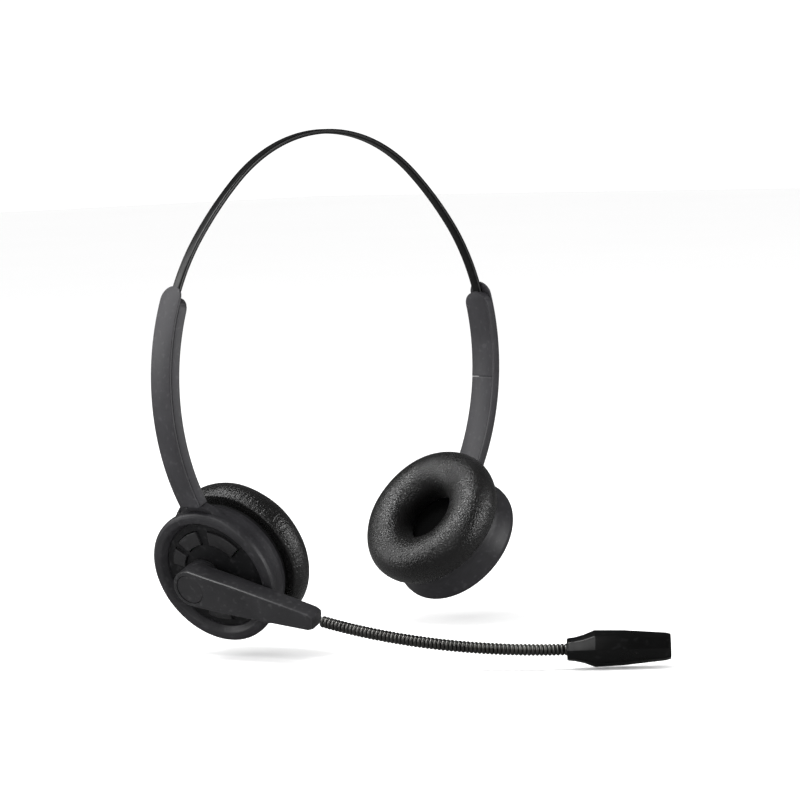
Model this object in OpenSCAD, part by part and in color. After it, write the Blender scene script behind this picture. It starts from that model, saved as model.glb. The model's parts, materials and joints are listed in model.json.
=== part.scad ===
// Double-sided headset with a gooseneck boom microphone.
// Frame: X is the wearer's left and right, the wearer faces -Y, +Z is up.
// The origin is on the underside of the band at the crown of the head.

/* [Band] */
// Radius of the band over the crown
crown_radius = 75; // [70:0.5:80]
// Half angle of the crown arc, in degrees
crown_angle = 39; // [36:0.5:42]
// Radius of the flatter stretch below the crown
side_radius = 150; // [120:1:180]
// Angle of the flatter stretch, in degrees
side_angle = 11; // [9:0.5:13]
// Width of the band's sleeve
band_w = 3.9; // [3.4:0.1:5]
// Thickness of the band's sleeve
band_t = 1.8; // [1.6:0.1:2.0]

/* [Arms] */
// Radius of the arms and of the band's lower ends
arm_radius = 83; // [79:0.5:87]
// Length of an arm along its arc
arm_length = 76; // [70:0.5:82]
// Width of an arm's inner side
arm_w = 11.3; // [11:0.1:13.5]
// Width of an arm's outer side
plate_w = 9.9; // [9.6:0.1:11]
// How much higher the boom-side arm reaches along the band
left_reach = 6; // [0:0.5:8]
// How much lower the other arm's top stands
right_drop = 1.5; // [0:0.5:2]
// How far an arm slides out along the band
slide_travel = 24; // [16:1:24]

/* [Cups] */
// Radius of the housing's rim
rim_r = 26.3; // [25.8:0.1:28]
// Outer radius of an ear pad
pad_r = 28.6; // [28:0.1:30]
// Radius of the pad's rounded section
pad_roll = 9.2; // [8.8:0.1:10]
// Radius of the speaker's magnet
magnet_r = 7; // [5:0.5:8.5]
// How far a key stands above the face plate
key_proud = 1.0; // [0.8:0.1:1.2]
// Tilt of the boom cup, in degrees: how far its face looks down
left_tilt = 22; // [20:1:26]
// Yaw of the boom cup, in degrees: how far its face looks forward
left_yaw = 8; // [0:1:10]
// Tilt of the plain cup, in degrees
right_tilt = 37; // [31:1:40]

/* [Boom] */
// Length of the boom arm from its pivot to its nose
boom_length = 52; // [48:0.5:58]
// How far the boom hangs below the level, in degrees
boom_drop = 13.4; // [0:0.2:20]
// Length of the gooseneck
neck_length = 95; // [90:0.5:110]
// How far the gooseneck bends towards the mouth, in degrees
neck_bend = 31; // [20:0.5:36]
// Radius of the gooseneck
neck_r = 2.1; // [1.9:0.1:2.4]
// Length of the microphone capsule
capsule_l = 36.5; // [31:0.5:40]

/* [Hidden] */
$fn = 96;

// Band and arm arcs, each [x, z] centre for the right side; angles run down from the crown
neck_overlap = 27;
arc_steps = 20;
crown_c = [0, band_t / 2 - crown_radius];
side_from = crown_angle;
side_c = crown_c + (crown_radius - side_radius) * [sin(side_from), cos(side_from)];
end_from = crown_angle + side_angle;
end_c = side_c + (side_radius - arm_radius) * [sin(end_from), cos(end_from)];
arm_from = end_from + arc_angle(neck_overlap);
arm_to = arm_from + arc_angle(arm_length);

// Arm section, as distances from the arm's centreline
arm_out = 2.15;
arm_in = 2.1;
cover_t = 0.9;
slot_half_t = band_t / 2 + 0.25;
slot_half_w = band_w / 2 + 0.25;
cover_face = arm_radius + slot_half_t + 0.05;
panel_face = arm_radius - arm_in + cover_t + 0.05;
cover_drop = 3;
seam_at = 39;
panel_half_w = arm_w / 2 - 1.4;
shoulder_at = 6;
block_half_w = 3.7;
block_l = 6;
block_at = shoulder_at + slide_travel + 0.5;
core_t = 0.5;
core_w = 2;
ribbon_w = 2.6;

// Cup: its own frame has +Z outwards, +X down and +Y backwards
neck_reach = 2.1;
cup_drop = rim_r + neck_reach;
cup_out = 4.2;
cup_back = -8;
cup_face = 1;
cup_r = arm_radius + cup_out;
cup_c = end_c + cup_r * [sin(arm_to), cos(arm_to)] + cup_drop * [cos(arm_to), -sin(arm_to)];
wall_r = rim_r - 2;
cavity_r = wall_r - 1.9;
plate_r = rim_r - 5.5;
ledge_z = -0.8;
ledge_low = -2.95;
boss_r = plate_r - 0.4;
boss_angles = [0, 120, 240];
baffle_z = cup_back;
head_z = baffle_z + 0.7;
driver_hole_r = 13.1;
pad_mid_z = -15;
pad_seat_z = -9.95;
pad_hollow_r = 17.3;
board_z = -4;
board_t = 1;
board_r = plate_r - 0.9;

// Keys: each [middle angle, half angle], measured from the back, upwards
key_in = 12.8;
key_out = 18.2;
key_gap = 0.25;
key_travel = 0.6;
volume_up_at = [25, 11];
answer_at = [64, 17];
volume_down_at = [119, 22];
mute_at = [-80, 17];
lens_at = -45;

// Boom: its own frame has +X along the boom and +Z outwards
hub_y = 4;
hub_r = 7.3;
hub_base = 2.2;
hub_top = 12.6;
nose_r = 3.4;
nose_fall = 1.2;
neck_h = 8.3;
under_lip = 4.9;
collar_r = neck_r + 0.05;
bush_r = 3;
neck_radius = neck_length / (neck_bend * PI / 180);
neck_c = [boom_length, neck_h - neck_radius];
hinge_gap = 1.2;
hinge_at = [3.2, 34, 65];
window_x = 22;

function arc_angle(length) = length / arm_radius * 180 / PI;
function neck_angle(s) = s / neck_radius * 180 / PI;

// ---- placing ----

module on_side(side) {
    if (side < 0) mirror([1, 0, 0]) children();
    else children();
}

module at_arc(centre, radius, angle) {
    translate([centre[0] + radius * sin(angle), 0, centre[1] + radius * cos(angle)])
        rotate([0, angle, 0])
            children();
}

module at_arm(s) {
    at_arc(end_c, arm_radius, arm_from + arc_angle(s)) children();
}

// The cup's place before it is tilted and turned
module at_arm_end(side) {
    on_side(side) at_arm(arm_length) translate([cup_drop, 0, cup_out]) children();
}

module at_cup(side) {
    tilt = side < 0 ? left_tilt : right_tilt;
    yaw = side < 0 ? left_yaw : 0;
    on_side(side)
        translate([cup_c[0], 0, cup_c[1]])
            rotate([0, 0, -yaw])
                rotate([0, 90 + tilt, 0])
                    children();
}

module at_boom() {
    at_cup(-1)
        translate([0, hub_y, 0])
            rotate([0, 0, boom_drop - 90])
                children();
}

module at_neck(s) {
    at_boom() at_arc(neck_c, neck_radius, neck_angle(s)) children();
}

// ---- shared shapes ----

// Strap along an arc in the XZ plane, between two radii
module arc_strap(centre, r_in, r_out, from, to, width) {
    translate([centre[0], 0, centre[1]])
        rotate([90, 0, 0])
            rotate_extrude(angle = to - from, start = 90 - to, $fn = 240)
                translate([r_in, -width / 2])
                    square([r_out - r_in, width]);
}

// Round rod along an arc in the XZ plane
module arc_rod(centre, radius, from, to, rod_r) {
    translate([centre[0], 0, centre[1]])
        rotate([90, 0, 0])
            rotate_extrude(angle = to - from, start = 90 - to, $fn = 240)
                translate([radius, 0])
                    circle(rod_r, $fn = 32);
}

// Points along an arc after its start, down to its end
function arc_points(centre, radius, from, to) = [
    for (i = [1 : arc_steps])
        let (a = from + (to - from) * i / arc_steps)
            [centre[0] + radius * sin(a), centre[1] + radius * cos(a)]
];

// Right half of the band's edge at a height over its centreline, from the crown down
function half_edge(height, tail) = concat(
    arc_points(crown_c, crown_radius + height, 0, crown_angle),
    arc_points(side_c, side_radius + height, side_from, end_from),
    arc_points(end_c, arm_radius + height, end_from, arm_from + arc_angle(tail))
);

function reversed(list) = [for (i = [len(list) - 1 : -1 : 0]) list[i]];

function mirrored(list) = [for (p = list) [-p[0], p[1]]];

function whole_edge(height, tail) = concat(
    reversed(mirrored(half_edge(height, tail))),
    [[0, band_t / 2 + height]],
    half_edge(height, tail)
);

// Strap along the whole band, between two heights over its centreline
module band_strap(low, high, width, tail) {
    rotate([90, 0, 0])
        translate([0, 0, -width / 2])
            linear_extrude(width)
                polygon(concat(whole_edge(low, tail), reversed(whole_edge(high, tail))));
}

// Strap along the arm, with distances from the arm's top
module arm_strap(r_in, r_out, from, to, width) {
    arc_strap(end_c, r_in, r_out, arm_from + arc_angle(from), arm_from + arc_angle(to), width);
}

// Column whose outline has an arm's rounded top, standing on the arm's top end
module arm_outline(drop, width) {
    round_r = width / 2;
    outline = concat(
        [for (a = [90 : 15 : 270]) [round_r + 0.8 * round_r * cos(a), round_r * sin(a)]],
        [[arm_length + 20, -round_r], [arm_length + 20, round_r]]
    );
    at_arm(drop)
        translate([-round_r * 0.2, 0, -50])
            linear_extrude(60)
                polygon(outline);
}

module ring(r_in, r_out, z_from, z_to) {
    translate([0, 0, z_from]) difference() {
        cylinder(r = r_out, h = z_to - z_from);
        translate([0, 0, -1]) cylinder(r = r_in, h = z_to - z_from + 2);
    }
}

module disc(r, z_from, z_to) {
    translate([0, 0, z_from]) cylinder(r = r, h = z_to - z_from);
}

// Places children at an angle measured from the back of the cup, upwards
module at_bearing(angle, radius) {
    rotate([0, 0, angle + 90]) translate([radius, 0, 0]) children();
}

// ---- band ----

module band_core() {
    color("silver") band_strap(-core_t / 2, core_t / 2, core_w, block_at + block_l - 1);
}

module band_sleeve() {
    color("black") difference() {
        band_strap(-band_t / 2, band_t / 2, band_w, block_at);
        band_strap(-core_t / 2 - 0.01, core_t / 2 + 0.01, core_w + 0.02, block_at + 1);
        band_strap(-core_t / 2 - 0.4, -core_t / 2 - 0.1, ribbon_w + 0.02, block_at + 1);
    }
}

module link_ribbon() {
    color("firebrick") band_strap(-core_t / 2 - 0.39, -core_t / 2 - 0.11, ribbon_w, block_at);
}

module stop_block(side) {
    color("dimgray") on_side(side) difference() {
        arm_strap(arm_radius - band_t / 2, arm_radius + band_t / 2,
            block_at, block_at + block_l, 2 * block_half_w);
        arm_strap(arm_radius - core_t / 2 - 0.01, arm_radius + core_t / 2 + 0.01,
            block_at - 1, block_at + block_l + 1, core_w + 0.02);
        at_arm(block_at + block_l / 2) translate([0, 2.3, -2]) cylinder(r = 0.6, h = 4);
    }
}

module stop_rivets() {
    color("silver") for (side = [-1, 1])
        on_side(side)
            at_arm(block_at + block_l / 2)
                translate([0, 2.3, -band_t / 2])
                    cylinder(r = 0.6, h = band_t);
}

// ---- arms ----

// Where an arm's top stands, measured along the arm
function top_at(side) = side < 0 ? -left_reach : right_drop;

function screw_spots() = [seam_at + 6, arm_length - 14];

// Room for the band and for the stop block's travel
module band_slot() {
    slot_in = arm_radius - slot_half_t;
    slot_out = arm_radius + slot_half_t;
    arm_strap(slot_in, slot_out, -left_reach - 3, block_at, 2 * slot_half_w);
    arm_strap(slot_in, slot_out, shoulder_at, block_at + block_l + 0.5, 2 * block_half_w + 0.6);
}

module arm_shell(side) {
    color("#2b2b2e") on_side(side) difference() {
        union() {
            intersection() {
                arm_strap(cover_face, arm_radius + arm_out, top_at(side), arm_length, plate_w);
                arm_outline(top_at(side), plate_w);
            }
            arm_strap(arm_radius - arm_in, cover_face + 0.01, seam_at, arm_length, arm_w);
        }
        arm_strap(arm_radius - arm_in - 1, panel_face, seam_at - 1, arm_length + 1, 2 * panel_half_w + 0.1);
        at_arm(arm_length) translate([-9, -3, -1.2]) cube([12, 6, 2.4]);
        for (s = screw_spots()) at_arm(s) translate([0, 0, -1.3]) cylinder(r = 0.75, h = 2.3);
    }
}

module arm_cover(side) {
    color("#242427") on_side(side) difference() {
        intersection() {
            arm_strap(arm_radius - arm_in, cover_face - 0.05, top_at(side) + cover_drop, seam_at - 0.1, arm_w);
            arm_outline(top_at(side) + cover_drop, arm_w);
        }
        band_slot();
    }
}

module arm_panel(side) {
    color("#242427") on_side(side) difference() {
        arm_strap(arm_radius - arm_in, panel_face - 0.05, seam_at + 0.1, arm_length - 0.1, 2 * panel_half_w);
        for (s = screw_spots()) at_arm(s) {
            translate([0, 0, -4]) cylinder(r = 0.75, h = 4);
            translate([0, 0, -arm_in - 1]) cylinder(r = 1.55, h = 1.5);
        }
    }
}

module friction_leaf(side) {
    slot_in = arm_radius - slot_half_t;
    color("silver") on_side(side)
        arm_strap(slot_in + 0.01, slot_in + 0.18, 8, 20, band_w - 0.4);
}

module arm_screws(side) {
    color("silver") on_side(side) for (s = screw_spots()) at_arm(s) {
        translate([0, 0, -1.65]) cylinder(r = 0.7, h = 2.4);
        translate([0, 0, -arm_in + 0.02]) cylinder(r = 1.45, h = 0.46);
    }
}

// ---- cups ----

// Side wall of a cup in section, from the back edge round the rim
function wall_outline() = [
    [wall_r, cup_back], [wall_r + 0.9, -3], [rim_r, 0.8], [rim_r, 2.6], [rim_r - 1.1, 3.9]
];

module cup_neck(side) {
    difference() {
        at_arm_end(side) union() {
            translate([0, 0, -cup_out - arm_in])
                linear_extrude(arm_in + arm_out)
                    polygon([
                        [-cup_drop + 0.05, arm_w / 2], [-wall_r, arm_w / 2 + 2.5], [-18, arm_w / 2 + 9],
                        [-18, -arm_w / 2 - 9], [-wall_r, -arm_w / 2 - 2.5], [-cup_drop + 0.05, -arm_w / 2]
                    ]);
            translate([-cup_drop - 8, -2.85, -cup_out - 0.65]) cube([10, 5.7, 1.3]);
        }
        at_cup(side) disc(wall_r - 0.5, -20, 20);
    }
}

module screw_bosses(z_from, z_to) {
    for (a = boss_angles) at_bearing(a, boss_r) disc(1.6, z_from, z_to);
}

module boss_holes() {
    for (a = boss_angles) at_bearing(a, boss_r) disc(0.75, -9, -2.9);
}

module left_housing() {
    color("#2b2b2e") difference() {
        union() {
            at_cup(-1) rotate_extrude() polygon(concat(wall_outline(), [
                [rim_r - 3.1, 4], [plate_r + 0.1, 1.6], [plate_r + 0.1, ledge_z], [plate_r - 1.6, ledge_z],
                [plate_r - 1.6, ledge_low], [cavity_r, ledge_low], [cavity_r, cup_back]
            ]));
            cup_neck(-1);
            at_cup(-1) screw_bosses(-6.4, ledge_low + 0.1);
        }
        at_cup(-1) boss_holes();
        at_cup(-1) translate([cavity_r - 3, -4.6, -6.5]) cube([8, 9.2, 2.5]);
    }
}

module right_housing() {
    color("#2b2b2e") difference() {
        union() {
            at_cup(1) rotate_extrude() polygon(concat(wall_outline(), [
                [rim_r - 2.6, 4.3], [0, 4.8], [0, 3], [cavity_r, 2], [cavity_r, cup_back]
            ]));
            cup_neck(1);
            at_cup(1) screw_bosses(-6.4, 2.4);
        }
        at_cup(1) boss_holes();
    }
}

module baffle(side) {
    color("#1d1d1f") at_cup(side) difference() {
        disc(cavity_r - 0.1, baffle_z, baffle_z + 1.5);
        disc(driver_hole_r, baffle_z - 1, baffle_z + 3);
        for (a = boss_angles) at_bearing(a, boss_r) {
            disc(0.75, baffle_z - 1, baffle_z + 3);
            disc(1.6, baffle_z - 1, head_z);
        }
    }
}

module driver_frame(side) {
    color("dimgray") at_cup(side) rotate_extrude() polygon([
        [12.2, -9], [15, -9], [15, -8.05], [13, -8.05], [13, -4.6], [magnet_r + 0.02, -4.6],
        [magnet_r + 0.02, -5.3], [12.2, -5.3]
    ]);
}

module driver_magnet(side) {
    color("silver") at_cup(side) disc(magnet_r, -7.6, -4.5);
}

module diaphragm(side) {
    color("ivory") at_cup(side) disc(12.1, -8.8, -8.6);
}

module speaker_cloth(side) {
    color("#0c0c0d") at_cup(side) disc(pad_hollow_r - 0.05, -10.3, -9.95);
}

module pad_ring(side) {
    color("#1d1d1f") at_cup(side) ring(pad_hollow_r + 0.1, wall_r - 0.9, pad_seat_z + 0.05, cup_back - 0.05);
}

module ear_pad(side) {
    color("#1a1a1b") at_cup(side) rotate_extrude() difference() {
        translate([pad_r - pad_roll, pad_mid_z]) circle(pad_roll);
        translate([0, pad_seat_z]) square([60, 20]);
        translate([0, -13.2]) square([pad_hollow_r, 20]);
    }
}

module cup_screws(side) {
    color("silver") at_cup(side) for (a = boss_angles) at_bearing(a, boss_r) {
        disc(0.7, head_z - 0.1, -3);
        disc(1.5, baffle_z + 0.02, head_z - 0.02);
    }
}

// ---- controls, in the left cup ----

module key_sector(spot, grow, z_from, z_to) {
    half = spot[1] + grow / key_in * 180 / PI;
    translate([0, 0, z_from])
        rotate_extrude(angle = 2 * half, start = spot[0] - half + 90)
            translate([key_in - grow, 0])
                square([key_out - key_in + 2 * grow, z_to - z_from]);
}

module key(spot) {
    color("#38383b") at_cup(-1) {
        key_sector(spot, 0, -1.1, cup_face + key_proud);
        key_sector(spot, 0.5, -1.6, -1.05);
    }
}

module face_plate() {
    color("#323235") at_cup(-1) difference() {
        disc(plate_r, ledge_z, cup_face);
        for (spot = [volume_up_at, answer_at, volume_down_at, mute_at])
            key_sector(spot, key_gap, ledge_z - 1, cup_face + 1);
        translate([0, hub_y, 0]) disc(bush_r, -5, 5);
        at_bearing(lens_at, key_out) disc(0.65, -5, 5);
    }
}

module dome_switches() {
    color("gold") at_cup(-1) for (spot = [volume_up_at, answer_at, volume_down_at, mute_at])
        at_bearing(spot[0], (key_in + key_out) / 2) disc(1.7, board_z + board_t, -1.6 - key_travel - 0.02);
}

module main_board() {
    color("darkgreen") at_cup(-1) difference() {
        disc(board_r, board_z, board_z + board_t);
        for (a = boss_angles) at_bearing(a, boss_r) disc(1.75, board_z - 1, board_z + 2);
    }
}

module charging_socket() {
    color("silver") at_cup(-1) difference() {
        translate([wall_r - 8.2, -4.5, -6.45]) cube([8, 9, 2.4]);
        translate([wall_r - 7.2, -4.1, -6.05]) cube([10, 8.2, 1.6]);
    }
}

module indicator_lens() {
    color("lightblue") at_cup(-1) at_bearing(lens_at, key_out) disc(0.6, board_z + board_t + 0.1, cup_face + 0.05);
}

module battery() {
    color("slategray") at_cup(1) translate([-13, -9, -3.8]) cube([26, 18, 5]);
}

// ---- boom ----

module pivot_bush() {
    color("dimgray") at_cup(-1) translate([0, hub_y, 0]) difference() {
        union() {
            disc(bush_r, ledge_z - 0.1, 7.6);
            disc(bush_r + 2, -1.9, ledge_z - 0.05);
        }
        disc(1.2, -3, 9);
    }
}

module wave_washer() {
    color("silver") at_cup(-1) translate([0, hub_y, 0]) ring(bush_r + 0.2, 6, cup_face + 0.05, hub_base - 0.35);
}

module pivot_screw() {
    color("silver") at_cup(-1) translate([0, hub_y, 0]) {
        disc(1.15, -1.8, 7.7);
        disc(3.9, 7.65, 9.2);
    }
}

module boom_arm() {
    color("#2f2f32") at_boom() difference() {
        union() {
            disc(hub_r, hub_base, hub_top);
            translate([0, 0, under_lip])
                linear_extrude(hub_top - under_lip)
                    polygon([
                        [-1, -hub_r + 0.05], [18, -hub_r + 1], [boom_length - 2, -nose_r], [boom_length, -nose_r + 1],
                        [boom_length, nose_r - 1], [boom_length - 2, nose_r], [18, hub_r - 1], [-1, hub_r - 0.05]
                    ]);
        }
        disc(bush_r + 0.05, -1, 20);
        disc(4.3, 7.5, 11.6);
        disc(5.7, 11.55, 20);
        translate([hub_r + 1, 0, hub_top])
            rotate([0, nose_fall, 0])
                translate([0, -20, 0])
                    cube([80, 40, 20]);
        at_arc(neck_c, neck_radius, 0) rotate([0, -90, 0]) cylinder(r = collar_r + 0.05, h = 6, center = true);
    }
}

module boom_cap() {
    color("#38383b") at_boom() disc(5.6, 11.65, hub_top);
}

module neck_collar() {
    color("#1a1a1b") at_neck(0) rotate([0, 90, 0]) translate([0, 0, -2.9]) cylinder(r = collar_r, h = 5.3);
}

module gooseneck(index) {
    from = hinge_at[index] + hinge_gap / 2;
    to = index < 2 ? hinge_at[index + 1] - hinge_gap / 2 : neck_length;
    color("#161616") at_boom() arc_rod(neck_c, neck_radius, neck_angle(from), neck_angle(to), neck_r);
}

// Eight-sided slice of the capsule, standing across its length
module capsule_slice(x, high, deep) {
    cut = 0.3;
    translate([x, 0, 0]) rotate([90, 0, 90]) linear_extrude(0.02)
        polygon([
            [high, deep * cut], [high * cut, deep], [-high * cut, deep], [-high, deep * cut],
            [-high, -deep * cut], [-high * cut, -deep], [high * cut, -deep], [high, -deep * cut]
        ]);
}

module capsule_solid(wall) {
    hull() {
        capsule_slice(wall, 3.6 - wall, 3.6 - wall);
        capsule_slice(capsule_l * 0.28, 6.5 - wall, 5.2 - wall);
        capsule_slice(capsule_l - 1.5 - wall, 5.3 - wall, 4.6 - wall);
        capsule_slice(capsule_l - wall, 4.5 - wall, 3.9 - wall);
    }
}

module capsule_half(outer) {
    difference() {
        capsule_solid(0);
        capsule_solid(1);
        translate([-1, -20, outer ? -40 : 0]) cube([capsule_l + 5, 40, 40]);
        rotate([0, 90, 0]) translate([0, 0, -1]) cylinder(r = neck_r + 0.02, h = 4);
        if (!outer) translate([window_x, 0, -10]) cylinder(r = 3, h = 10);
    }
}

module capsule_front() {
    color("#0d0d0e") at_neck(neck_length - 2) capsule_half(false);
}

module capsule_rear() {
    color("#0d0d0e") at_neck(neck_length - 2) capsule_half(true);
}

module mic_element() {
    color("silver") at_neck(neck_length - 2) translate([window_x, 0, -3.5]) cylinder(r = 2.9, h = 2.6);
}

module mic_mesh() {
    color("gray") at_neck(neck_length - 2) translate([window_x, 0, -4.6]) cylinder(r = 2.95, h = 0.4);
}

// ---- one line per node ----

band_core();
band_sleeve();
link_ribbon();
stop_block(-1);  // left_stop_block
stop_block(1);  // right_stop_block
stop_rivets();
arm_shell(-1);  // left_arm_shell
arm_cover(-1);  // left_arm_cover
arm_panel(-1);  // left_arm_panel
friction_leaf(-1);  // left_friction_leaf
arm_screws(-1);  // left_arm_screws
arm_shell(1);  // right_arm_shell
arm_cover(1);  // right_arm_cover
arm_panel(1);  // right_arm_panel
friction_leaf(1);  // right_friction_leaf
arm_screws(1);  // right_arm_screws
left_housing();
baffle(-1);  // left_baffle
driver_frame(-1);  // left_driver_frame
driver_magnet(-1);  // left_driver_magnet
diaphragm(-1);  // left_diaphragm
speaker_cloth(-1);  // left_speaker_cloth
pad_ring(-1);  // left_pad_ring
ear_pad(-1);  // left_ear_pad
cup_screws(-1);  // left_cup_screws
right_housing();
baffle(1);  // right_baffle
driver_frame(1);  // right_driver_frame
driver_magnet(1);  // right_driver_magnet
diaphragm(1);  // right_diaphragm
speaker_cloth(1);  // right_speaker_cloth
pad_ring(1);  // right_pad_ring
ear_pad(1);  // right_ear_pad
cup_screws(1);  // right_cup_screws
face_plate();
key(volume_up_at);  // volume_up_key
key(answer_at);  // answer_key
key(volume_down_at);  // volume_down_key
key(mute_at);  // mute_key
dome_switches();
main_board();
charging_socket();
indicator_lens();
battery();
pivot_bush();
wave_washer();
pivot_screw();
boom_arm();
boom_cap();
neck_collar();
gooseneck(0);  // gooseneck_1
gooseneck(1);  // gooseneck_2
gooseneck(2);  // gooseneck_3
capsule_front();
capsule_rear();
mic_element();
mic_mesh();
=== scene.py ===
import json
import math

import bmesh
import bpy
from mathutils import Matrix, Vector, noise


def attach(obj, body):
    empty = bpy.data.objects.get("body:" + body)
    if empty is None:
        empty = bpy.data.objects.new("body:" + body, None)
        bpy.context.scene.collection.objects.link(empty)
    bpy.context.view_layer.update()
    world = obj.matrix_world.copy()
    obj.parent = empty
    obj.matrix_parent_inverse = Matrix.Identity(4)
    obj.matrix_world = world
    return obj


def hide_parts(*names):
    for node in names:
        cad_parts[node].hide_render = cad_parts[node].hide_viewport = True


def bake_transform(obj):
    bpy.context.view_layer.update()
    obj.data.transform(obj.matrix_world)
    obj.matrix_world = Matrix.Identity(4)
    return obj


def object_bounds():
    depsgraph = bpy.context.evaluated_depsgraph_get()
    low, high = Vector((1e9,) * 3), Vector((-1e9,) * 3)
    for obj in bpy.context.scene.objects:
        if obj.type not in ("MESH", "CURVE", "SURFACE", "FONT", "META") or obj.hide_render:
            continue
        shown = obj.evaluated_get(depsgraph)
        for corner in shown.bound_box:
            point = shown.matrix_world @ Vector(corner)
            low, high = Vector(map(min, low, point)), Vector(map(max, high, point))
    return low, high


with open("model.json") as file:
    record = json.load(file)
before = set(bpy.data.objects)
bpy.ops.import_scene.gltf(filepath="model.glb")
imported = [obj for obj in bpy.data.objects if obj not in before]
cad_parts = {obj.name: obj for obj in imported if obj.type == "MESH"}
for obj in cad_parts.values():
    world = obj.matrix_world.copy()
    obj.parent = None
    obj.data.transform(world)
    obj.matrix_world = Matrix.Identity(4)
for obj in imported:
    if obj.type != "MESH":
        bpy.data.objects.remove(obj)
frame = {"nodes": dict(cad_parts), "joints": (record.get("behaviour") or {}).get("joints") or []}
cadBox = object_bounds()
joints = {joint["name"]: joint for joint in frame["joints"]}
mm = 0.001
mergeGap = 0.002 * mm
sharpCorner = 50  # degrees; what turns more than this gets a rounded edge


# helpers for selecting, shaping and placing a piece


def selectNone():
    if bpy.context.object and bpy.context.object.mode != "OBJECT":
        bpy.ops.object.mode_set(mode="OBJECT")
    bpy.ops.object.select_all(action="DESELECT")


def selectOnly(piece):
    selectNone()
    piece.select_set(True)
    bpy.context.view_layer.objects.active = piece


def startEdit(piece):
    selectOnly(piece)
    bpy.ops.object.mode_set(mode="EDIT")
    bpy.ops.mesh.select_mode(type="VERT")
    bpy.ops.mesh.select_all(action="DESELECT")


def endEdit():
    bpy.ops.object.mode_set(mode="OBJECT")


def pick(piece, kind, test):
    # selects the vertices or edges that pass the test
    bpy.ops.mesh.select_mode(type=kind)
    bpy.ops.mesh.select_all(action="DESELECT")
    mesh = bmesh.from_edit_mesh(piece.data)
    parts = mesh.verts if kind == "VERT" else mesh.edges
    for part in [part for part in parts if test(part)]:
        part.select_set(True)
    mesh.select_flush_mode()
    bmesh.update_edit_mesh(piece.data)


def pullUp(height):
    # extrudes what is selected along Z
    bpy.ops.mesh.extrude_region_move(TRANSFORM_OT_translate={"value": (0, 0, height * mm)})


def widen(x, y):
    bpy.ops.transform.resize(value=(x, y, 1), center_override=(0, 0, 0))


def moveVerts(piece, change):
    # moves each vertex in turn, as with a sculpting brush
    for vertex in piece.data.vertices:
        vertex.co = change(vertex.co.copy())
    piece.data.update()


def named(name):
    piece = bpy.context.object
    piece.name = name
    piece.data.name = name
    bpy.ops.object.transform_apply(location=True, rotation=True, scale=True)
    return piece


def applied(piece, kind, **settings):
    selectOnly(piece)
    bpy.ops.object.modifier_add(type=kind)
    modifier = piece.modifiers[-1]
    for key, value in settings.items():
        setattr(modifier, key, value)
    bpy.ops.object.modifier_apply(modifier=modifier.name)


def rounded(piece, width, segments, corner=sharpCorner):
    limit = math.radians(corner)
    applied(piece, "BEVEL", width=width * mm, segments=segments,
            limit_method="ANGLE", angle_limit=limit)


def cleaned(piece):
    startEdit(piece)
    bpy.ops.mesh.select_all(action="SELECT")
    bpy.ops.mesh.remove_doubles(threshold=mergeGap)
    bpy.ops.mesh.normals_make_consistent(inside=False)
    endEdit()
    return piece


def joined(name, pieces):
    selectNone()
    for piece in pieces:
        piece.select_set(True)
    bpy.context.view_layer.objects.active = pieces[0]
    bpy.ops.object.join()
    pieces[0].name = name
    return pieces[0]


def placed(piece, matrix):
    selectOnly(piece)
    piece.matrix_world = matrix
    bpy.ops.object.transform_apply(location=True, rotation=True, scale=True)
    return piece


def copied(piece, name):
    selectOnly(piece)
    bpy.ops.object.duplicate()
    twin = bpy.context.object
    twin.name = name
    twin.data.name = name
    return twin


def axesFrame(origin, xAxis, zAxis):
    z = Vector(zAxis).normalized()
    y = z.cross(Vector(xAxis)).normalized()
    x = y.cross(z)
    return Matrix.Translation(origin) @ Matrix((x, y, z)).transposed().to_4x4()


def roundedPath(corners, steps=5, share=0.48):
    # corners are (x, y, rounding); each becomes a short curve that takes up
    # no more than its share of the sides next to it
    path = []
    for index, (x, y, rounding) in enumerate(corners):
        here = Vector((x, y))
        if rounding == 0 or index in (0, len(corners) - 1):
            path.append((x, y))
            continue
        back = Vector(corners[index - 1][:2]) - here
        ahead = Vector(corners[index + 1][:2]) - here
        wanted = rounding / math.tan(back.angle(ahead) / 2)
        cut = min(wanted, back.length * share, ahead.length * share)
        start, end = here + back.normalized() * cut, here + ahead.normalized() * cut
        for step in range(steps + 1):
            t = step / steps
            point = start * (1 - t) ** 2 + here * 2 * t * (1 - t) + end * t * t
            path.append((point.x, point.y))
    return path


def turned(name, path, segments):
    # a ring of edges, pulled along the (radius, height) outline as on a lathe
    radius, height = path[0]
    bpy.ops.mesh.primitive_circle_add(
        vertices=segments, radius=radius * mm, location=(0, 0, height * mm))
    piece = named(name)
    startEdit(piece)
    bpy.ops.mesh.select_all(action="SELECT")
    for (r0, z0), (r1, z1) in zip(path, path[1:]):
        pullUp(z1 - z0)
        if abs(r1 - r0) > 1e-6:
            widen(r1 / r0, r1 / r0)
    endEdit()
    return cleaned(piece)


def fillHole(piece, test):
    # a face across the open edge whose height passes the test
    pick(piece, "EDGE", lambda edge: edge.is_boundary and test(edge.verts[0].co.z))
    bpy.ops.mesh.edge_face_add()


def drilled(piece, name, radius, start, end, segments, place=Matrix.Identity(4)):
    # cuts a round hole with a plug turned from start to end
    plug = turned(name, [(radius, start), (radius, end)], segments)
    middle = (start + end) / 2 * mm
    startEdit(plug)
    fillHole(plug, lambda z: z < middle)
    fillHole(plug, lambda z: z > middle)
    bpy.ops.mesh.select_all(action="SELECT")
    bpy.ops.mesh.normals_make_consistent(inside=False)
    endEdit()
    placed(plug, place)
    applied(piece, "BOOLEAN", operation="DIFFERENCE", solver="EXACT", object=plug)
    bpy.data.objects.remove(plug)


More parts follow.
